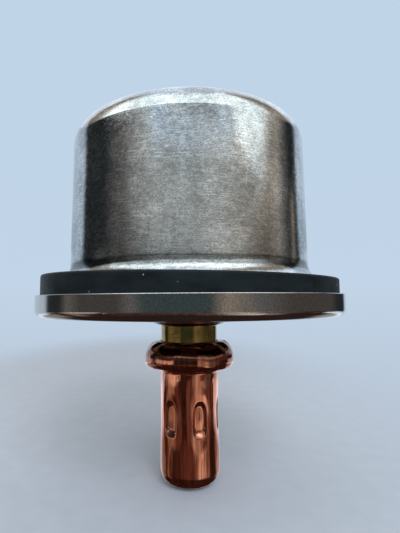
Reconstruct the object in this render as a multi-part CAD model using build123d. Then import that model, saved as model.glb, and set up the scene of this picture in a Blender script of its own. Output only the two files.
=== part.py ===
from build123d import *

import math
import os

# Bell-valve coolant thermostat, in millimetres. The origin is the centre of the seat pan's
# top edge, and +Z runs along the axis from the wax capsule towards the bell.

# Seat pan: pressed sheet with an upturned rim, a raised web and a drawn hub
pan_radius = 34.0
pan_sheet = 1.0
rim_height = 4.5
pan_corner = 1.5
rim_edge = 0.15
web_raise = 0.8
seat_land_width = 6.8
hub_radius = 9.33
hub_depth = 3.15
hub_root = 0.6
hub_corner = 2.4

# Coolant ports through the web, with a rib between each two
port_count = 4
port_inner_radius = 12.6
port_outer_radius = 24.4
port_corner = 2.0
rib_angle = 34.0

# Rubber seal ring, which also carries the seat of the bell
seal_fit = 0.05
seal_stand = 3.53
seal_width = 5.4
seal_lip = 1.45
seal_step_height = 1.8
seal_edge = 0.4
seal_foot_edge = 0.7

# Bell: deep-drawn cup, open at its flared foot
bell_foot_radius = 26.9
bell_top_radius = 26.55
bell_top_height = 38.4
bell_sheet = 0.9
bell_shoulder = 5.2
flare_radius = 3.8
bell_flange_gap = 0.5

# Spider: the cross bar welded inside the bell
spider_width = 9.0
spider_sheet = 1.5
spider_height = 6.0
spider_tab = 6.0
spider_bend = 2.5
weld_gap = 0.03

# Stirrup: the strap that carries the spring's thrust back to the pan
strap_width = 8.0
strap_sheet = 1.6
stirrup_clearance = 0.1
foot_bend = 1.6
foot_end_corner = 3.0
crown_bend = 3.0
crown_clearance = 3.0

# Rivets that hold the stirrup's feet
rivet_radius = 1.2
rivet_clearance = 0.03
rivet_head_radius = 2.2
rivet_head_height = 1.2
rivet_head_dome = 1.0
rivet_tail_radius = 2.0
rivet_tail_gap = 0.1
rivet_margin = 0.3

# Return spring and its two dished seats
wire_diameter = 2.0
spring_radius = 14.0
active_coils = 4
closed_coil_gap = 0.02
spring_seat_sheet = 1.0
spring_seat_lip = 0.9
spring_seat_boss = 2.0
spring_seat_bend = 1.2
spring_boss_clearance = 0.4
spring_seat_hole = 5.2

# Piston and thrust button
piston_radius = 2.35
running_clearance = 0.05
button_wall = 0.83
button_flange_width = 1.6
button_flange_height = 1.1
button_head_width = 1.0
button_head_height = 1.6
button_roof = 1.0
button_clearance = 0.05
socket_clearance = 0.02

# Brass guide and the ring that keeps it in the hub
neck_radius = 6.45
spigot_shoulder = 1.0
spigot_stand = 0.5
hub_hole_clearance = 0.05
guide_tube_wall = 1.6
guide_gap = 1.0
guide_chamfer = 0.5
retaining_ring_margin = 0.1
retaining_ring_height = 1.5
retaining_ring_chamfer = 0.4
retaining_ring_clearance = 0.02

# Copper capsule, rolled over the guide's flange at its bead
capsule_radius = 6.6
capsule_taper = 0.12
capsule_sheet = 0.8
capsule_bottom = -41.7
capsule_corner = 3.2
capsule_dome = 0.2
bead_top = -10.4
bead_shoulder = -13.9
bead_bottom = -16.3
bead_stand = 3.6
roll_step = 2.0
roll_corner = 1.2
bead_shoulder_corner = 2.0
bead_lower_corner = 1.8
bead_root = 1.5
crease_height = -13.8
crease_depth = 0.12
crease_radius = 0.5
bead_lip_clearance = 0.12

# Crimp dimples round the capsule
dimple_count = 6
dimple_phase = -11.0
dimple_depth = 0.7
dimple_top = -23.0
dimple_bottom = -30.6
dimple_width = 3.2
side_slope = 35.0
top_slope = 62.0
bottom_slope = 55.0
punch_reach = 1.5

# Sealed inner pieces of the wax element
guide_flange_height = 3.2
flange_clearance = 0.06
funnel_flare = 2.1
funnel_height = 1.5
plug_length = 2.0
plug_disc_length = 0.6
plug_clearance = 0.1
fill_gap = 0.05

# Heights and radii that follow from the sizes above
seat_height = -rim_height
floor_height = seat_height + pan_sheet
web_under = seat_height + web_raise
web_top = web_under + pan_sheet
hub_bottom = web_under - hub_depth
hub_floor = hub_bottom + pan_sheet
seal_outer_radius = pan_radius - pan_sheet - seal_fit
seal_inner_radius = seal_outer_radius - seal_width
lip_inner_radius = seal_outer_radius - seal_lip
bell_flange_radius = lip_inner_radius - bell_flange_gap
bell_flange_top = seal_step_height + bell_sheet
spider_top = spider_height + spider_sheet
spring_boss_radius = spring_radius - wire_diameter / 2 - spring_boss_clearance
spring_rim_radius = spring_radius + wire_diameter / 2 + spring_seat_lip
stirrup_half = spring_rim_radius + crown_bend + stirrup_clearance
crown_top = bell_top_height - bell_sheet - crown_clearance
crown_under = crown_top - strap_sheet
foot_top = web_top + strap_sheet
rivet_place = stirrup_half + foot_bend + rivet_head_radius + rivet_margin
foot_end = rivet_place + rivet_head_radius + rivet_margin
spring_low = spider_top + spring_seat_sheet
spring_high = crown_under - spring_seat_sheet
closed_pitch = wire_diameter + closed_coil_gap
socket_radius = piston_radius + socket_clearance
button_stem_radius = socket_radius + button_wall
button_bottom = spider_height - button_flange_height
button_top = spider_top + button_head_height
piston_top = button_top - button_roof
bore_radius = piston_radius + running_clearance
guide_tube_radius = bore_radius + guide_tube_wall
spigot_radius = guide_tube_radius + spigot_shoulder
guide_top = button_bottom - guide_gap
spigot_top = hub_floor + retaining_ring_height + spigot_stand
capsule_low_radius = capsule_radius + capsule_taper
bead_radius = capsule_radius + bead_stand
roll_radius = bead_radius - roll_step
guide_flange_top = bead_top - capsule_sheet
guide_flange_under = guide_flange_top - guide_flange_height
guide_flange_radius = roll_radius - capsule_sheet - flange_clearance
ledge_height = bead_bottom + capsule_sheet
plug_bottom = guide_flange_under + funnel_height
plug_top = plug_bottom + plug_length
piston_bottom = plug_top + plug_disc_length
plug_radius = bore_radius - plug_clearance
funnel_radius = bore_radius + funnel_flare


def turned(outline):
    """Solid of revolution about Z of a closed outline of (radius, height)."""
    return revolve(Plane.XZ * make_face(outline), axis=Axis.Z)


def ring(inner, outer, low, high):
    """Plain ring, or a disc where the inner radius is 0."""
    return turned(Polyline((inner, low), (outer, low), (outer, high), (inner, high), close=True))


def pressed(sheet, bends, *points):
    """Section of a sheet: its outer skin runs through the points, with the metal on their right."""
    skin = FilletPolyline(*points, radius=bends)
    return make_face(skin.offset_2d(sheet, kind=Kind.ARC, side=Side.RIGHT))


def port_punch():
    """One kidney-shaped port, centred on +X."""
    half = (360 / port_count - rib_angle) / 2
    outer = CenterArc((0, 0), port_outer_radius, -half, 2 * half)
    inner = CenterArc((0, 0), port_inner_radius, -half, 2 * half)
    outline = make_face([outer, inner, Line(outer @ 0, inner @ 0), Line(outer @ 1, inner @ 1)])
    outline = fillet(outline.vertices(), port_corner)
    return extrude(Pos(0, 0, seat_height) * outline, rim_height)


def build_seat_pan():
    land_inner = pan_radius - seat_land_width
    section = pressed(
        pan_sheet,
        [pan_corner, web_raise / 2, web_raise, hub_root, hub_corner],
        (pan_radius, 0),
        (pan_radius, seat_height),
        (land_inner, seat_height),
        (land_inner - web_raise, web_under),
        (hub_radius, web_under),
        (hub_radius, hub_bottom),
        (spigot_radius + hub_hole_clearance, hub_bottom),
    )
    pan = revolve(Plane.XZ * section, axis=Axis.Z)
    pan = fillet(pan.edges().group_by(Axis.Z)[-1], rim_edge)
    for k in range(port_count):
        pan -= Rot(0, 0, (k + 0.5) * 360 / port_count) * port_punch()
    for side in (-1, 1):
        hole = Cylinder(rivet_radius + rivet_clearance, rim_height)
        pan -= Pos(side * rivet_place, 0, web_under) * hole
    return pan


def build_seal_ring():
    outline = FilletPolyline(
        (seal_inner_radius, floor_height),
        (seal_outer_radius, floor_height),
        (seal_outer_radius, seal_stand),
        (lip_inner_radius, seal_stand),
        (lip_inner_radius, seal_step_height),
        (seal_inner_radius, seal_step_height),
        close=True,
        radius=[seal_edge, seal_foot_edge, seal_edge, seal_edge, 0, seal_edge],
    )
    return turned(outline)


def build_bell():
    section = pressed(
        bell_sheet,
        [bell_shoulder, flare_radius],
        (0, bell_top_height),
        (bell_top_radius, bell_top_height),
        (bell_foot_radius, bell_flange_top),
        (bell_flange_radius, bell_flange_top),
    )
    return revolve(Plane.XZ * section, axis=Axis.Z)


def bell_inner_radius(height):
    """Inner radius of the bell's drafted wall at a height."""
    draft = (bell_foot_radius - bell_top_radius) / (bell_top_height - bell_flange_top)
    return bell_foot_radius - bell_sheet - draft * (height - bell_flange_top)


def build_spider():
    tab_top = spider_height + spider_tab
    wall = bell_inner_radius(tab_top) - weld_gap
    section = pressed(
        spider_sheet,
        [spider_bend, spider_bend],
        (wall, tab_top),
        (wall, spider_height),
        (-wall, spider_height),
        (-wall, tab_top),
    )
    bar = extrude(Plane.YZ * section, spider_width / 2, both=True)
    bar &= Pos(0, 0, spider_height) * Cylinder(wall, 2 * spider_tab + rim_edge)
    return bar - Pos(0, 0, spider_height) * Cylinder(button_stem_radius + button_clearance, spider_tab)


def build_stirrup():
    section = pressed(
        strap_sheet,
        [foot_bend, crown_bend, crown_bend, foot_bend],
        (-foot_end, foot_top),
        (-stirrup_half, foot_top),
        (-stirrup_half, crown_top),
        (stirrup_half, crown_top),
        (stirrup_half, foot_top),
        (foot_end, foot_top),
    )
    strap = extrude(Plane.XZ * section, strap_width / 2, both=True)
    ends = strap.edges().filter_by(Axis.Z).group_by(SortBy.LENGTH)[0]
    strap = fillet(ends, foot_end_corner)
    for side in (-1, 1):
        hole = Cylinder(rivet_radius + rivet_clearance, 4 * strap_sheet)
        strap -= Pos(side * rivet_place, 0, web_top) * hole
    return strap


def build_rivet(side):
    """Domed head on the stirrup's foot, and a flat tail under the pan's web."""
    tail_low = seat_height + rivet_tail_gap
    outline = FilletPolyline(
        (0, tail_low),
        (rivet_tail_radius, tail_low),
        (rivet_tail_radius, web_under),
        (rivet_radius, web_under),
        (rivet_radius, foot_top),
        (rivet_head_radius, foot_top),
        (rivet_head_radius, foot_top + rivet_head_height),
        (0, foot_top + rivet_head_height),
        close=True,
        radius=[0, 0, 0, 0, 0, 0, rivet_head_dome, 0],
    )
    return Pos(side * rivet_place, 0, 0) * turned(outline)


def build_spring_seat():
    """Dished washer on the XY plane: the rim carries the spring and the boss centres it."""
    boss_top = spring_seat_sheet + spring_seat_boss
    section = pressed(
        spring_seat_sheet,
        [spring_seat_bend, spring_seat_bend / 2],
        (spring_seat_hole, boss_top),
        (spring_boss_radius, boss_top),
        (spring_boss_radius, spring_seat_sheet),
        (spring_rim_radius, spring_seat_sheet),
    )
    return revolve(Plane.XZ * section, axis=Axis.Z)


def build_return_spring():
    """Helix with a closed coil at each end, between the two seats."""
    low = spring_low + wire_diameter / 2
    high = spring_high - wire_diameter / 2
    rise = high - low - 2 * closed_pitch
    coils = Wire([
        Helix(closed_pitch, closed_pitch, spring_radius, center=(0, 0, low)),
        Helix(rise / active_coils, rise, spring_radius, center=(0, 0, low + closed_pitch)),
        Helix(closed_pitch, closed_pitch, spring_radius, center=(0, 0, high - closed_pitch)),
    ])
    start = Plane(coils @ 0, z_dir=coils % 0)
    return sweep(start * Circle(wire_diameter / 2), path=coils, is_frenet=True)


def build_thrust_button():
    flange_radius = button_stem_radius + button_flange_width
    head_radius = button_stem_radius + button_head_width
    outline = Polyline(
        (socket_radius, button_bottom),
        (flange_radius, button_bottom),
        (flange_radius, spider_height),
        (button_stem_radius, spider_height),
        (button_stem_radius, spider_top),
        (head_radius, spider_top),
        (head_radius, spider_top + button_head_height / 2),
        (button_stem_radius, button_top),
        (0, button_top),
        (0, piston_top),
        (socket_radius, piston_top),
        close=True,
    )
    return turned(outline)


def build_piston():
    pin = ring(0, piston_radius, piston_bottom, piston_top)
    return chamfer(pin.edges().group_by(Axis.Z)[0], guide_chamfer / 2)


def build_guide():
    outline = Polyline(
        (bore_radius, guide_top),
        (guide_tube_radius - guide_chamfer, guide_top),
        (guide_tube_radius, guide_top - guide_chamfer),
        (guide_tube_radius, spigot_top),
        (spigot_radius - guide_chamfer, spigot_top),
        (spigot_radius, spigot_top - guide_chamfer),
        (spigot_radius, hub_bottom),
        (neck_radius, hub_bottom),
        (neck_radius, guide_flange_top),
        (guide_flange_radius, guide_flange_top),
        (guide_flange_radius, guide_flange_under),
        (funnel_radius, guide_flange_under),
        (bore_radius, plug_bottom),
        close=True,
    )
    return turned(outline)


def build_retaining_ring():
    inner = spigot_radius + retaining_ring_clearance
    outer = hub_radius - hub_corner - retaining_ring_margin
    body = ring(inner, outer, hub_floor, hub_floor + retaining_ring_height)
    return chamfer(body.edges().group_by(Axis.Z)[-1].sort_by(SortBy.LENGTH)[-1], retaining_ring_chamfer)


def dimple_punch(growth):
    """One crimp dimple on +X, or the same grown by a wall so that the inside follows it."""

    def width_at(out, slope):
        """Sideways run of a wall that slopes by this angle, out millimetres from the capsule."""
        angle = math.radians(slope)
        return out * math.tan(angle) + growth * math.tan(math.pi / 4 - angle / 2) + growth * math.tan(angle)

    def flat(out):
        half = dimple_width / 2 + width_at(out, side_slope)
        high = dimple_top + width_at(out, top_slope)
        low = dimple_bottom - width_at(out, bottom_slope)
        middle = (capsule_radius + out, 0, (high + low) / 2)
        return Plane(middle, x_dir=(0, 1, 0), z_dir=(1, 0, 0)) * Rectangle(2 * half, high - low)

    return loft([flat(-dimple_depth - growth), flat(punch_reach)])


def dimple_punches(growth):
    step = 360 / dimple_count
    return [Rot(0, 0, dimple_phase + k * step) * dimple_punch(growth) for k in range(dimple_count)]


def capsule_outside():
    """Outside of the copper as one solid, from its domed end up to the rolled lip."""
    skin = FilletPolyline(
        (0, capsule_bottom),
        (capsule_low_radius, capsule_bottom + capsule_dome),
        (capsule_radius, bead_bottom),
        (bead_radius, bead_bottom),
        (bead_radius, bead_shoulder),
        (roll_radius, bead_top),
        (0, bead_top),
        radius=[capsule_corner, bead_root, bead_lower_corner, bead_shoulder_corner, roll_corner],
    )
    solid = turned([skin, Line((0, bead_top), (0, capsule_bottom))])
    groove = Pos(bead_radius + crease_radius - crease_depth, crease_height) * Circle(crease_radius)
    return solid - revolve(Plane.XZ * groove, axis=Axis.Z)


def capsule_space(top, gap):
    """Space inside the capsule's tube up to a height, held a gap clear of the copper."""
    wall = capsule_sheet + gap
    skin = FilletPolyline(
        (0, capsule_bottom + wall),
        (capsule_low_radius - wall, capsule_bottom + capsule_dome + wall),
        (capsule_radius - wall, top),
        (0, top),
        radius=[capsule_corner - wall, 0],
    )
    return turned([skin, Line((0, top), (0, capsule_bottom + wall))]) - dimple_punches(wall)


def build_capsule():
    lip_radius = neck_radius + bead_lip_clearance
    shell = capsule_outside() - dimple_punches(0) - capsule_space(ledge_height, 0)
    shell -= ring(0, roll_radius - capsule_sheet, ledge_height, guide_flange_top)
    return shell - ring(0, lip_radius, guide_flange_top, bead_top)


def build_wax_charge():
    return capsule_space(ledge_height, fill_gap)


def build_diaphragm():
    """Rubber disc under the guide, with a cone that fills the guide's funnel."""
    outline = Polyline(
        (0, ledge_height),
        (guide_flange_radius, ledge_height),
        (guide_flange_radius, guide_flange_under),
        (funnel_radius - fill_gap, guide_flange_under),
        (plug_radius, plug_bottom),
        (0, plug_bottom),
        close=True,
    )
    return turned(outline)


def build_parts():
    spring_seat = build_spring_seat()
    return {
        "seat_pan": build_seat_pan(),
        "seal_ring": build_seal_ring(),
        "stirrup": build_stirrup(),
        "rivet_left": build_rivet(-1),
        "rivet_right": build_rivet(1),
        "upper_spring_seat": Pos(0, 0, crown_under) * mirror(spring_seat, about=Plane.XY),
        "guide": build_guide(),
        "retaining_ring": build_retaining_ring(),
        "capsule": build_capsule(),
        "wax_charge": build_wax_charge(),
        "diaphragm": build_diaphragm(),
        "bell": build_bell(),
        "spider": build_spider(),
        "lower_spring_seat": Pos(0, 0, spider_top) * spring_seat,
        "thrust_button": build_thrust_button(),
        "piston": build_piston(),
        "plug_disc": ring(0, plug_radius, plug_top, piston_bottom),
        "plug": ring(0, plug_radius, plug_bottom, plug_top),
        "return_spring": build_return_spring(),
    }


os.makedirs("parts", exist_ok=True)
for name, part in build_parts().items():
    export_step(part, f"parts/{name}.step")
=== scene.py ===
import math

import bpy
import numpy as np
from mathutils import Matrix, Vector


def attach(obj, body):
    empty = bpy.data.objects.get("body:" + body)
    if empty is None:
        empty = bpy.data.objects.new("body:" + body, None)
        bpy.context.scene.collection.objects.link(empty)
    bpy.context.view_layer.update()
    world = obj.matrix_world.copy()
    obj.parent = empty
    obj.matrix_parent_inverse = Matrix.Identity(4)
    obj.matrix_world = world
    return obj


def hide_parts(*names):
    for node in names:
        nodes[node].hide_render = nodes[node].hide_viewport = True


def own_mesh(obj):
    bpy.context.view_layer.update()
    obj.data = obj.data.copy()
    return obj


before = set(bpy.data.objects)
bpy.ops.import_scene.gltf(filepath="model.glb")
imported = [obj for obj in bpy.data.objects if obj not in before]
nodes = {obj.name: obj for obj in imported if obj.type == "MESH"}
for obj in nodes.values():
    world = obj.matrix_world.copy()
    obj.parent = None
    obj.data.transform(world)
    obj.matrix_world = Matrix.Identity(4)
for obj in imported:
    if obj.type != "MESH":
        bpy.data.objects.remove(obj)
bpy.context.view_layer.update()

MM = 0.001
AROUND = 360


# ---------------------------------------------------------------- node graphs

class Graph:
    """Short way to add shader nodes: values and sockets go straight to the named inputs."""

    def __init__(self, tree):
        self.tree = tree
        tree.nodes.clear()

    def add(self, kind, inputs=None, out=0, **settings):
        node = self.tree.nodes.new(kind)
        for name, value in settings.items():
            setattr(node, name, value)
        for name, value in (inputs or {}).items():
            self.put(node.inputs[name], value)
        return node.outputs[out] if out is not None else node

    def put(self, socket, value):
        if isinstance(value, bpy.types.NodeSocket):
            self.tree.links.new(value, socket)
        elif isinstance(value, tuple) and len(value) == 3 and socket.type == "RGBA":
            socket.default_value = (*value, 1.0)
        else:
            socket.default_value = value

    def math(self, operation, *values):
        return self.add("ShaderNodeMath", dict(enumerate(values)), operation=operation)

    def vector(self, operation, *values, out=0):
        return self.add("ShaderNodeVectorMath", dict(enumerate(values)), out, operation=operation)

    def mix(self, factor, a, b, blend="MIX"):
        node = self.add("ShaderNodeMix", None, None, data_type="RGBA", blend_type=blend)
        self.put(node.inputs["Factor"], factor)
        self.put(node.inputs[6], a)
        self.put(node.inputs[7], b)
        return node.outputs[2]

    def span(self, value, low, high, start=0.0, end=1.0, smooth=True):
        """Map a value from low..high to start..end, held at both ends."""
        return self.add(
            "ShaderNodeMapRange",
            {"Value": value, "From Min": low, "From Max": high, "To Min": start, "To Max": end},
            interpolation_type="SMOOTHSTEP" if smooth else "LINEAR",
        )

    def ramp(self, value, *stops):
        node = self.add("ShaderNodeValToRGB", {"Fac": value}, None)
        ramp = node.color_ramp
        while len(ramp.elements) < len(stops):
            ramp.elements.new(0.5)
        for element, (place, colour) in zip(ramp.elements, stops):
            element.position = place
            element.color = (*colour, 1.0)
        return node.outputs[0]

    def place(self, stretch=(1.0, 1.0, 1.0)):
        """Position on the piece in millimetres, stretched along the axes."""
        coords = self.add("ShaderNodeTexCoord", out=None).outputs["Object"]
        scale = tuple(1000.0 * value for value in stretch)
        return self.vector("MULTIPLY", coords, scale)

    def product(self, first, *rest):
        for value in rest:
            first = self.math("MULTIPLY", first, value)
        return first

    def shaded(self, colour, shade):
        """The colour made darker or lighter by a grey value."""
        grey = self.add("ShaderNodeCombineColor", {0: shade, 1: shade, 2: shade})
        return self.mix(1.0, colour, grey, "MULTIPLY")

    def height(self):
        """Height on the piece in millimetres."""
        return self.add("ShaderNodeSeparateXYZ", {0: self.place()}, None).outputs[2]

    def noise(self, stretch, scale=1.0, detail=3.0, rough=0.5, warp=0.0):
        return self.add(
            "ShaderNodeTexNoise",
            {
                "Vector": self.place(stretch), "Scale": scale, "Detail": detail,
                "Roughness": rough, "Distortion": warp,
            },
        )

    def cells(self, scale):
        return self.add("ShaderNodeTexVoronoi", {"Vector": self.place(), "Scale": scale})

    def bump(self, height, depth, normal=None):
        inputs = {"Height": height, "Distance": depth, "Strength": 1.0}
        if normal is not None:
            inputs["Normal"] = normal
        return self.add("ShaderNodeBump", inputs)


def material(name, build):
    """A node material whose Principled inputs are what build(graph) returns."""
    made = bpy.data.materials.new(name)
    made.use_nodes = True
    graph = Graph(made.node_tree)
    inputs = build(graph)
    surface = graph.add("ShaderNodeBsdfPrincipled", inputs)
    graph.add("ShaderNodeOutputMaterial", {"Surface": surface}, None)
    return made


# ---------------------------------------------------------------- materials

def bell_steel(g):
    """Deep-drawn stainless steel: fine marks round the axis, grain, scuffs and faint warm stains, and a
    painted shade ring above the foot.
    """
    lines = g.noise((0.42, 0.42, 4.6), 1.0, 3.0, 0.6)
    grain = g.noise((0.8, 0.8, 1.3), 4.2, 4.0, 0.75)
    clumps = g.noise((1.0, 1.0, 1.3), 0.9, 3.0, 0.65)
    patches = g.noise((0.14, 0.14, 0.12), 1.0, 3.0, 0.55)
    stains = g.noise((0.09, 0.09, 0.07), 1.0, 3.0, 0.5)
    worn = g.span(g.noise((0.11, 0.11, 0.16), 1.0, 2.0, 0.5), 0.50, 0.60, 0.07, 0.35)
    height = g.height()
    # Painted shade: a dark ring in the crease above the bell's foot, standing in for the dark reflection
    # there.
    foot_painted_shade = g.math("MULTIPLY", g.span(height, 4.7, 5.3), g.span(height, 7.1, 6.4))
    shade = g.product(
        g.span(grain, 0.37, 0.65, 0.52, 1.32, smooth=False),
        g.span(lines, 0.38, 0.62, 0.92, 1.08),
        g.span(patches, 0.36, 0.64, 0.82, 1.20),
        g.span(clumps, 0.34, 0.66, 0.84, 1.14),
    )
    shade = g.math("ADD", shade, g.math("MULTIPLY", g.span(lines, 0.54, 0.62), worn))
    # Painted shade: the foot ring darkens the steel's colour down to 0.35.
    shade = g.math("MULTIPLY", shade, g.span(foot_painted_shade, 0.0, 1.0, 1.0, 0.35, smooth=False))
    colour = g.ramp(stains, (0.35, (0.565, 0.597, 0.605)), (0.65, (0.60, 0.60, 0.585)))
    rough = g.span(g.math("ADD", clumps, g.math("MULTIPLY", grain, 0.6)), 0.55, 1.05, 0.06, 0.14)
    normal = g.bump(lines, 0.000004)
    normal = g.bump(grain, 0.000006, normal)
    return {"Base Color": g.shaded(colour, shade), "Metallic": 1.0, "Roughness": rough, "Normal": normal}


def pan_steel(g):
    """Bright pressed stainless steel with soft stains and faint draw marks."""
    draw = g.noise((0.5, 0.5, 0.12), 1.0, 3.0, 0.5)
    grain = g.noise((1.0, 1.0, 1.0), 5.0, 2.0, 0.6)
    cloud = g.noise((0.12, 0.12, 0.12), 1.0, 3.0, 0.6)
    colour = g.ramp(cloud, (0.35, (0.56, 0.57, 0.565)), (0.65, (0.60, 0.56, 0.52)))
    shade = g.span(grain, 0.36, 0.66, 0.72, 1.18, smooth=False)
    colour = g.shaded(colour, shade)
    rough = g.span(cloud, 0.35, 0.7, 0.05, 0.12)
    normal = g.bump(draw, 0.00001)
    normal = g.bump(grain, 0.000004, normal)
    return {"Base Color": colour, "Metallic": 1.0, "Roughness": rough, "Normal": normal}


def inner_steel(g):
    """Plain sheet stainless steel of the pieces inside."""
    grain = g.noise((1.0, 1.0, 1.0), 3.0, 4.0, 0.6)
    colour = g.ramp(grain, (0.3, (0.50, 0.50, 0.50)), (0.7, (0.60, 0.59, 0.58)))
    return {
        "Base Color": colour, "Metallic": 1.0, "Roughness": g.span(grain, 0.3, 0.7, 0.24, 0.38),
        "Normal": g.bump(grain, 0.000008),
    }


def spring_wire(g):
    """Drawn spring wire, darker than the sheet."""
    marks = g.noise((0.8, 0.8, 3.0), 1.0, 4.0, 0.6)
    colour = g.ramp(marks, (0.3, (0.34, 0.33, 0.33)), (0.7, (0.47, 0.46, 0.45)))
    return {"Base Color": colour, "Metallic": 1.0, "Roughness": g.span(marks, 0.3, 0.7, 0.24, 0.36)}


def seal_rubber(g):
    """Black moulded rubber with a dull bloom and a few specks of dust."""
    skin = g.noise((1.0, 1.0, 1.0), 2.2, 5.0, 0.6)
    bloom = g.noise((0.15, 0.15, 0.3), 1.0, 4.0, 0.6)
    colour = g.ramp(bloom, (0.35, (0.004, 0.007, 0.009)), (0.65, (0.010, 0.016, 0.019)))
    away = g.cells(0.9)
    size = g.noise((1.0, 1.0, 1.0), 0.45, 1.0, 0.5)
    dust = g.math("LESS_THAN", away, g.span(size, 0.5, 0.75, 0.0, 0.12))
    colour = g.mix(dust, colour, (0.20, 0.21, 0.22))
    return {
        "Base Color": colour, "Roughness": g.span(skin, 0.3, 0.7, 0.40, 0.56),
        "Specular IOR Level": 0.14, "Normal": g.bump(skin, 0.00001),
    }


def soft_rubber(g):
    """Rubber of the sealed pieces inside the wax element."""
    skin = g.noise((1.0, 1.0, 1.0), 2.0, 4.0, 0.6)
    colour = g.ramp(skin, (0.3, (0.02, 0.02, 0.02)), (0.7, (0.035, 0.035, 0.035)))
    return {"Base Color": colour, "Roughness": 0.55}


def turned_brass(g):
    """Turned brass, dulled to olive, with tool marks round the neck."""
    rings = g.noise((0.15, 0.15, 6.0), 1.0, 3.0, 0.6)
    patch = g.noise((0.35, 0.35, 0.3), 1.0, 3.0, 0.55)
    colour = g.ramp(
        patch, (0.3, (0.30, 0.21, 0.07)), (0.55, (0.44, 0.31, 0.10)), (0.75, (0.66, 0.48, 0.17)),
    )
    normal = g.bump(rings, 0.00001)
    return {
        "Base Color": colour, "Metallic": 1.0, "Roughness": g.span(patch, 0.3, 0.7, 0.10, 0.20),
        "Normal": normal,
    }


def drawn_copper(g):
    """Drawn copper with long soft ripples along the tube, and painted shade darkening the bead."""
    ripple = g.noise((0.42, 0.42, 0.05), 1.0, 2.0, 0.45, 0.3)
    fine = g.noise((2.4, 2.4, 0.25), 1.0, 4.0, 0.6)
    patch = g.noise((0.3, 0.3, 0.18), 1.0, 4.0, 0.6)
    colour = g.ramp(
        patch, (0.3, (0.72, 0.25, 0.15)), (0.5, (0.82, 0.34, 0.22)), (0.75, (0.88, 0.44, 0.32)),
    )
    height = g.height()
    # Painted shade: the upper half of the bead darker, standing in for the dark reflection of the pan above
    # it, and the rest of the bead a little darker.
    upper = g.span(height, -14.0, -12.9, 1.0, 0.55)
    lower = g.span(height, -17.0, -16.0, 1.0, 0.80)
    bead_painted_shade = g.math("MULTIPLY", upper, lower)
    streak = g.span(g.noise((1.7, 1.7, 0.10), 1.0, 3.0, 0.6), 0.38, 0.62, 0.66, 1.12)
    # Painted shade on the bead, multiplied into the colour together with the streaks.
    colour = g.shaded(colour, g.math("MULTIPLY", bead_painted_shade, streak))
    rough = g.span(patch, 0.35, 0.7, 0.035, 0.09)
    normal = g.bump(ripple, 0.00012)
    normal = g.bump(g.noise((1.2, 1.2, 0.22), 1.0, 2.0, 0.5, 0.4), 0.00003, normal)
    normal = g.bump(fine, 0.000006, normal)
    return {"Base Color": colour, "Metallic": 1.0, "Roughness": rough, "Normal": normal}


def filled_wax(g):
    """Pale wax mixed with copper powder."""
    powder = g.cells(6.0)
    colour = g.ramp(powder, (0.1, (0.60, 0.40, 0.22)), (0.5, (0.76, 0.63, 0.42)))
    return {"Base Color": colour, "Roughness": 0.6}


LOOKS = {
    "bell_steel": (bell_steel, ["bell"]),
    "pan_steel": (pan_steel, ["seat_pan"]),
    "inner_steel": (
        inner_steel,
        ["stirrup", "rivet_left", "rivet_right", "upper_spring_seat", "retaining_ring", "spider",
         "lower_spring_seat", "thrust_button", "piston"],
    ),
    "spring_wire": (spring_wire, ["return_spring"]),
    "seal_rubber": (seal_rubber, ["seal_ring"]),
    "soft_rubber": (soft_rubber, ["diaphragm", "plug", "plug_disc"]),
    "turned_brass": (turned_brass, ["guide"]),
    "drawn_copper": (drawn_copper, ["capsule"]),
    "filled_wax": (filled_wax, ["wax_charge"]),
}
LOOK = {}
for look, (build, members) in LOOKS.items():
    LOOK[look] = material(look, build)
    for member in members:
        piece = nodes[member]
        if not piece.material_slots:
            piece.data.materials.append(LOOK[look])
        for place in piece.material_slots:
            place.material = LOOK[look]


# ---------------------------------------------------------------- meshes

def rounded(points, radii, step=0.2):
    """Path through (radius, height) points in millimetres with its inner corners rounded."""
    points = [np.array(point, float) for point in points]
    path = [points[0]]

    def run_to(end):
        count = max(1, int(math.ceil(np.linalg.norm(end - path[-1]) / step)))
        start = path[-1]
        path.extend(start + (end - start) * k / count for k in range(1, count + 1))

    for before, corner, after, radius in zip(points, points[1:], points[2:], radii):
        if radius == 0:
            run_to(corner)
            continue
        back = (before - corner) / np.linalg.norm(before - corner)
        on = (after - corner) / np.linalg.norm(after - corner)
        half = math.acos(np.clip(back @ on, -1, 1)) / 2
        run_to(corner + back * radius / math.tan(half))
        centre = corner + (back + on) / np.linalg.norm(back + on) * radius / math.sin(half)
        first = path[-1] - centre
        last = corner + on * radius / math.tan(half) - centre
        turn = math.atan2(first[0] * last[1] - first[1] * last[0], first @ last)
        count = max(4, int(abs(turn) * radius / (step * 0.6)))
        for k in range(1, count + 1):
            cos, sin = math.cos(turn * k / count), math.sin(turn * k / count)
            path.append(centre + np.array([first[0] * cos - first[1] * sin, first[0] * sin + first[1] * cos]))
    run_to(points[-1])
    return np.array(path)


def spun(name, path, around, shape=None, closed=False):
    """Mesh turned about Z from a path of (radius, height) in millimetres.

    shape(turn, radius, height) gives the final radius and height of every point."""
    turn = np.linspace(0, 2 * math.pi, around, endpoint=False)
    turns, radii = np.meshgrid(turn, path[:, 0], indexing="ij")
    heights = np.broadcast_to(path[:, 1], radii.shape)
    if shape is not None:
        radii, heights = shape(turns, radii, heights)
    verts = np.stack([radii * np.cos(turns), radii * np.sin(turns), heights], -1).reshape(-1, 3) * MM
    rows = len(path)
    a, k = np.meshgrid(np.arange(around), np.arange(rows if closed else rows - 1), indexing="ij")
    here, there = a * rows, (a + 1) % around * rows
    faces = np.stack([here + k, there + k, there + (k + 1) % rows, here + (k + 1) % rows], -1).reshape(-1, 4)
    return mesh_piece(name, verts, faces.tolist())


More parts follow.
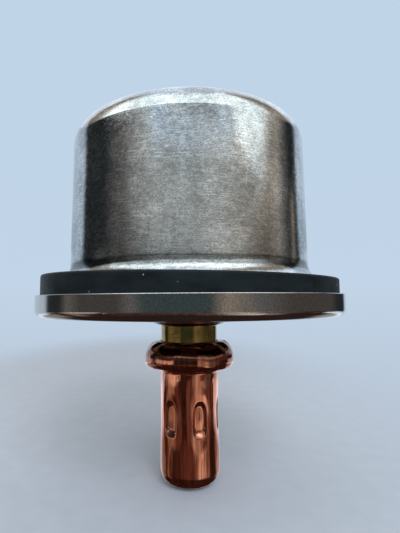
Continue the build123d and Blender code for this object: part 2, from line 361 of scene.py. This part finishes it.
def mesh_piece(name, verts, faces):
    mesh = bpy.data.meshes.new(name)
    mesh.from_pydata(verts.tolist(), [], faces)
    mesh.validate()
    mesh.shade_smooth()
    piece = bpy.data.objects.new(name, mesh)
    bpy.context.scene.collection.objects.link(piece)
    return piece


def stands_for(piece, body, node, look):
    """The piece replaces a CAD node, with its look."""
    piece.data.materials.append(LOOK[look])
    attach(piece, body)
    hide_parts(node)


# Sizes of the capsule and the seal ring, in millimetres from the pan's edge.
TUBE_RADIUS = 6.6
OUTER_WALL = 6.2
BEAD_RADIUS = 10.2
BEAD_TOP = -10.4
BEAD_BOTTOM = -16.3
CAPSULE_END = -41.7
SEAL_BOTTOM = -3.5
SEAL_STEP = 1.8
SEAL_TOP = 3.53
SEAL_INSIDE = 27.55
SEAL_OUTSIDE = 32.95
LIP_INSIDE = 31.5
DIMPLES = 6
DIMPLE_TURN = -11.0
DIMPLE_HALF_WIDTH = 1.65
DIMPLE_TOP = -22.9
DIMPLE_BOTTOM = -30.5
DIMPLE_DEPTH = 0.72


def crimp(turns, radii, heights):
    """Press six flat-floored dimples into the capsule, steep below and easy above."""
    middle, half = (DIMPLE_TOP + DIMPLE_BOTTOM) / 2, (DIMPLE_TOP - DIMPLE_BOTTOM) / 2
    step = 2 * math.pi / DIMPLES
    near = (turns - math.radians(DIMPLE_TURN) + step / 2) % step - step / 2
    along = (heights - middle) / half
    power = np.where(along < 0, 4.5, 2.6)
    along = np.where(along < 0, np.abs(along) ** 0.8, np.abs(along))
    across = np.abs(near * TUBE_RADIUS / DIMPLE_HALF_WIDTH)
    edge = (across ** power + along ** power) ** (1 / power)
    deep = (1 - edge) / 0.25
    soft = 0.10
    pressed = soft * (np.logaddexp(0, deep / soft) - np.logaddexp(0, (deep - 1) / soft))
    pressed = np.where(radii > OUTER_WALL, pressed, 0)
    flat = (radii - DIMPLE_DEPTH) * (1 / np.cos(near) - 1)
    skirt = 0.11 * np.exp(-(np.clip(edge - 0.9, 0, None) / 0.5) ** 2) * (radii > OUTER_WALL)
    return radii - pressed * DIMPLE_DEPTH + pressed * flat - (1 - pressed) * skirt, heights


def capsule_shape(turns, radii, heights):
    """The crimped capsule with a ragged top edge, an uneven tube and a slightly wavy bead."""
    radii, heights = crimp(turns, radii, heights)
    ragged = sum(np.sin(turns * n + n * n) / n ** 0.7 for n in (9, 17, 31, 46, 71))
    lip = np.clip(1 - np.hypot(radii - TUBE_RADIUS, heights - BEAD_TOP) / 0.5, 0, 1)
    tube = np.clip((-16.5 - heights) / 2.0, 0, 1) * np.clip(radii - 5.0, 0, 1)
    swell = sum(
        size * np.sin(turns * n + n + 0.9 * np.sin(heights * pace + n * n))
        for n, size, pace in ((4, 0.035, 0.33), (7, 0.026, 0.47), (11, 0.017, 0.61), (17, 0.009, 0.8))
    )
    bead = np.clip(radii - 7.5, 0, 1)
    wave = 0.16 * np.sin(turns * 3 + 1.0) + 0.10 * np.sin(turns * 7 + 0.4) + 0.05 * np.sin(turns * 13)
    radii = radii + lip * 0.03 * ragged + tube * swell
    return radii, heights + lip * 0.12 * (ragged + 0.4) + bead * wave


def build_capsule():
    outside = rounded(
        [(0.001, CAPSULE_END), (TUBE_RADIUS + 0.12, CAPSULE_END + 0.22), (TUBE_RADIUS, BEAD_BOTTOM),
         (BEAD_RADIUS, BEAD_BOTTOM), (BEAD_RADIUS, BEAD_TOP), (TUBE_RADIUS, BEAD_TOP),
         (TUBE_RADIUS, -11.2), (7.4, -11.2), (7.4, -15.5)],
        [3.2, 0.9, 1.8, 3.35, 0.2, 0.0, 0.0], 0.17,
    )
    return spun("capsule_shell", outside, 440, capsule_shape)


def seal_tilt(turns, radii, heights):
    """The seal lies a little uneven in the pan: its lip stands higher on one side."""
    lip = np.clip((heights - SEAL_STEP) / (SEAL_TOP - SEAL_STEP), 0, 1)
    return radii, heights + lip * (0.28 - 0.019 * radii * np.cos(turns) + 0.009 * radii * np.sin(turns))


def build_seal():
    section = rounded(
        [(29.0, SEAL_BOTTOM), (SEAL_OUTSIDE, SEAL_BOTTOM), (SEAL_OUTSIDE, SEAL_TOP), (LIP_INSIDE, SEAL_TOP),
         (LIP_INSIDE, SEAL_STEP), (SEAL_INSIDE, SEAL_STEP), (SEAL_INSIDE, SEAL_BOTTOM), (29.0, SEAL_BOTTOM)],
        [0.7, 0.4, 0.4, 0.0, 0.4, 0.4], 0.3,
    )[:-1]
    return spun("seal_body", section, AROUND, seal_tilt, closed=True)


def build_spring():
    """Coil spring of 2 mm wire between its seats, with ground ends."""
    low, high, pitch = 9.5, 30.9, 2.02
    knots = [(0, low), (1, low + pitch), (5, high - pitch), (6, high)]
    t = np.linspace(0, 6, 6 * 72 + 1)
    height = np.interp(t, *zip(*knots))
    height = np.convolve(np.pad(height, 9, "edge"), np.ones(19) / 19, "valid")
    angle = t * 2 * math.pi
    centre = np.stack([14 * np.cos(angle), 14 * np.sin(angle), height], -1)
    out = np.stack([np.cos(angle), np.sin(angle), 0 * angle], -1)
    up = np.array([0, 0, 1.0])
    ring = np.linspace(0, 2 * math.pi, 16, endpoint=False)
    verts = (
        centre[:, None] + out[:, None] * np.cos(ring)[None, :, None] + up * np.sin(ring)[None, :, None]
    )
    count = len(ring)
    a, k = np.meshgrid(np.arange(len(t) - 1), np.arange(count), indexing="ij")
    faces = np.stack([
        a * count + k, a * count + (k + 1) % count,
        (a + 1) * count + (k + 1) % count, (a + 1) * count + k,
    ], -1).reshape(-1, 4).tolist()
    faces += [list(range(count))[::-1], [(len(t) - 1) * count + i for i in range(count)]]
    return mesh_piece("coil_spring", verts.reshape(-1, 3) * MM, faces)


stands_for(build_capsule(), "seat", "capsule", "drawn_copper")
stands_for(build_seal(), "seat", "seal_ring", "seal_rubber")
spring = build_spring()
stands_for(spring, "seat", "return_spring", "spring_wire")
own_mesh(spring)


# ---------------------------------------------------------------- world

# Colours of the room that only metal reflects, used by the rows and patches in build_world.
PALE = (0.55, 0.66, 0.79)
BRIGHT = (0.95, 1.05, 1.20)
LAMP = (1.70, 1.88, 1.92)
GREY = (0.64, 0.66, 0.65)
HAZE = (0.46, 0.50, 0.51)
WARM = (0.46, 0.42, 0.37)
GLOW = (0.80, 0.74, 0.66)
TAN = (0.32, 0.27, 0.22)
DIM = (0.16, 0.155, 0.15)
DARK = (0.08, 0.072, 0.066)
TEAL = (0.055, 0.08, 0.085)
BLACK = (0.025, 0.03, 0.033)
BROWN = (0.13, 0.072, 0.06)
UMBER = (0.035, 0.019, 0.016)


def bands(g, turn, stops):
    """Colours round the horizon: stops of (degrees from the front, colour), seen from above."""
    return g.ramp(turn, *(((degrees + 180.0) / 360.0, colour) for degrees, colour in stops))


def build_world():
    """Room for glossy rays, plain backdrop for the camera and even sky for all other rays.

    The rows of the room were written from readings of the photograph's reflections, with each colour then
    replaced by one of those above. Setting the rows this way is a fault; a plain room, not read from the
    photograph, would replace them."""
    world = bpy.data.worlds.new("studio")
    bpy.context.scene.world = world
    world.use_nodes = True
    g = Graph(world.node_tree)
    way = g.add("ShaderNodeTexCoord", out=None).outputs["Generated"]
    parts = g.add("ShaderNodeSeparateXYZ", {0: way}, None).outputs
    front = g.math("MULTIPLY", parts[1], -1.0)
    angle = g.math("DEGREES", g.math("ARCTAN2", parts[0], front))
    turn = g.span(angle, -180.0, 180.0, smooth=False)
    rise = g.math("DEGREES", g.math("ARCSINE", parts[2]))

    top = bands(g, turn, [
        (-126, BRIGHT), (-116, TAN), (-98, WARM), (-80, LAMP), (74, LAMP), (90, WARM), (112, TAN),
        (126, BRIGHT),
    ])
    high = bands(g, turn, [
        (-118, PALE), (-113, BLACK), (-84, BLACK), (-62, DIM), (-30, GREY), (4, HAZE), (30, GREY),
        (60, WARM), (75, TAN), (88, WARM), (98, DIM), (108, BLACK), (119, BLACK), (125, PALE),
    ])
    level = bands(g, turn, [
        (-121, PALE), (-116, BLACK), (-99, BLACK), (-92, DIM), (-80, DARK), (-50, DARK), (-40, DIM),
        (-31, TEAL), (13, TEAL), (24, TAN), (44, DIM), (70, DARK), (112, DARK), (123, BLACK),
        (138, BLACK), (143, PALE),
    ])
    crease = bands(g, turn, [
        (-119, PALE), (-104, UMBER), (-90, GLOW), (-44, GLOW), (-36, UMBER), (14, UMBER), (32, WARM),
        (46, WARM), (58, DIM), (90, UMBER), (112, UMBER), (124, PALE),
    ])
    low = bands(g, turn, [
        (-150, BRIGHT), (-124, BRIGHT), (-116, UMBER), (-98, UMBER), (-90, TAN), (-74, TAN), (-62, BROWN),
        (-44, BROWN), (-33, UMBER), (-16, UMBER), (-8, BROWN), (13, BROWN), (20, TAN), (28, WARM), (40, WARM),
        (47, BROWN), (74, BROWN), (86, UMBER), (98, BROWN), (105, UMBER), (110, BRIGHT), (150, BRIGHT),
    ])
    under = bands(g, turn, [
        (-150, PALE), (-128, TAN), (-112, TAN), (-104, UMBER), (-94, BROWN), (-88, TAN), (-82, BROWN),
        (-74, UMBER), (20, BROWN), (31, WARM), (43, GLOW), (49, GLOW), (56, TAN), (74, UMBER),
        (112, UMBER), (122, TAN), (150, PALE),
    ])

    def between(value, first, last, edge):
        return g.math(
            "MULTIPLY", g.span(value, first - edge, first + edge), g.span(value, last + edge, last - edge),
        )

    def window(left, right, lower, upper, edge):
        """1 inside a patch of the surroundings, given in degrees, and 0 outside it."""
        return g.math("MULTIPLY", between(angle, left, right, edge), between(rise, lower, upper, edge))

    colour = g.mix(g.span(rise, -9.0, -6.5), crease, level)
    colour = g.mix(g.span(rise, -12.0, -9.5), low, colour)
    colour = g.mix(window(124, 150, 3, 12, 2), colour, PALE)
    colour = g.mix(g.span(rise, 6.5, 7.8), colour, g.shaded(high, g.span(rise, 8.0, 17.0, 0.78, 1.0)))
    colour = g.mix(window(109, 114, 3, 15, 2), colour, TAN)
    lean = g.math("SUBTRACT", angle, g.math("MULTIPLY", g.math("SUBTRACT", 41.3, rise), 2.8))
    arm = g.math("MULTIPLY", g.span(lean, -1.5, 2.0), g.span(angle, 84.0, 66.0))
    colour = g.mix(g.math("MULTIPLY", arm, g.span(rise, 15.0, 25.5)), colour, LAMP)
    colour = g.mix(window(-48, 13, 4, 7, 1), colour, BLACK)
    colour = g.mix(window(-36, 42, 24, 34, 4), colour, PALE)
    colour = g.mix(window(-20, 26, 27, 34, 1), colour, HAZE)
    dip = g.span(g.math("ABSOLUTE", angle), 10.0, 40.0, 2.0, 0.0)
    colour = g.mix(g.span(g.math("SUBTRACT", rise, dip), 28.0, 30.4), colour, top)
    colour = g.mix(g.span(rise, 60.0, 80.0), colour, BRIGHT)
    colour = g.mix(g.span(rise, -15.0, -19.0), colour, under)
    colour = g.mix(g.span(rise, -28.0, -40.0), colour, UMBER)

    backdrop = g.ramp(
        g.span(rise, -20.0, 30.0, smooth=False),
        (0.0, (0.46, 0.53, 0.63)), (0.45, (0.54, 0.66, 0.80)), (1.0, (0.52, 0.66, 0.80)),
    )
    path = g.add("ShaderNodeLightPath", out=None).outputs
    soft = g.add("ShaderNodeBackground", {"Color": (0.90, 0.88, 0.86), "Strength": 0.90})
    shine = g.add("ShaderNodeBackground", {"Color": colour, "Strength": 1.0})
    seen = g.add("ShaderNodeBackground", {"Color": backdrop, "Strength": 1.0})
    mirror = g.math("MAXIMUM", path["Is Glossy Ray"], path["Is Transmission Ray"])
    lit = g.add("ShaderNodeMixShader", {0: mirror, 1: soft, 2: shine})
    lit = g.add("ShaderNodeMixShader", {0: path["Is Camera Ray"], 1: lit, 2: seen})
    g.add("ShaderNodeOutputWorld", {"Surface": lit}, None)


build_world()


# ---------------------------------------------------------------- floor, lamp, camera

def build_floor():
    """Paper floor that fades into the backdrop away from the object's shadow."""
    bpy.ops.mesh.primitive_circle_add(vertices=96, radius=0.9, fill_type="NGON", location=(0, 0, -0.0420))
    floor = bpy.context.object
    floor.name = "floor"
    made = bpy.data.materials.new("paper_floor")
    made.use_nodes = True
    g = Graph(made.node_tree)
    coords = g.add("ShaderNodeTexCoord", out=None).outputs["Object"]
    away = g.vector("SUBTRACT", coords, (-0.035, 0.10, 0.0))
    reach = g.vector("LENGTH", g.vector("MULTIPLY", away, (1.0, 0.45, 1.0)), out=1)
    paper = g.noise((1.0, 1.0, 1.0), 0.2, 3.0, 0.5)
    colour = g.ramp(paper, (0.3, (0.45, 0.51, 0.59)), (0.7, (0.48, 0.54, 0.62)))
    surface = g.add("ShaderNodeBsdfDiffuse", {"Color": colour})
    clear = g.add("ShaderNodeBsdfTransparent")
    fade = g.span(reach, 0.05, 0.15)
    surface = g.add("ShaderNodeMixShader", {0: fade, 1: surface, 2: clear})
    g.add("ShaderNodeOutputMaterial", {"Surface": surface}, None)
    floor.data.materials.append(made)
    floor.visible_glossy = False


def build_lamp(name, spot, target, size, power, colour):
    lamp = bpy.data.lights.new(name, "AREA")
    lamp.shape = "DISK"
    lamp.size = size
    lamp.energy = power
    lamp.color = colour
    holder = bpy.data.objects.new(name, lamp)
    bpy.context.scene.collection.objects.link(holder)
    holder.location = spot
    way = Vector(target) - Vector(spot)
    holder.rotation_euler = way.to_track_quat("-Z", "Y").to_euler()
    return holder


build_floor()
key = build_lamp("key", (0.11, -0.42, 0.30), (0, 0, 0), 0.26, 1.8, (0.90, 0.95, 1.0))
key.visible_glossy = False

camera = bpy.data.objects.new("camera", bpy.data.cameras.new("camera"))
bpy.context.scene.collection.objects.link(camera)
camera.data.lens = 26.40
camera.data.sensor_width = 36.0
camera.data.shift_x = 0.0366
camera.data.clip_start = 0.005
camera.data.clip_end = 10.0
camera.location = (-0.00189, -0.09214, -0.00125)
roll = math.radians(-0.35)
pitch = math.radians(90.0 + 5.02)
camera.matrix_world = (
    Matrix.Translation(camera.location) @ Matrix.Rotation(pitch, 4, "X") @ Matrix.Rotation(roll, 4, "Z")
)
bpy.context.scene.camera = camera
bpy.context.scene.view_settings.view_transform = "Standard"
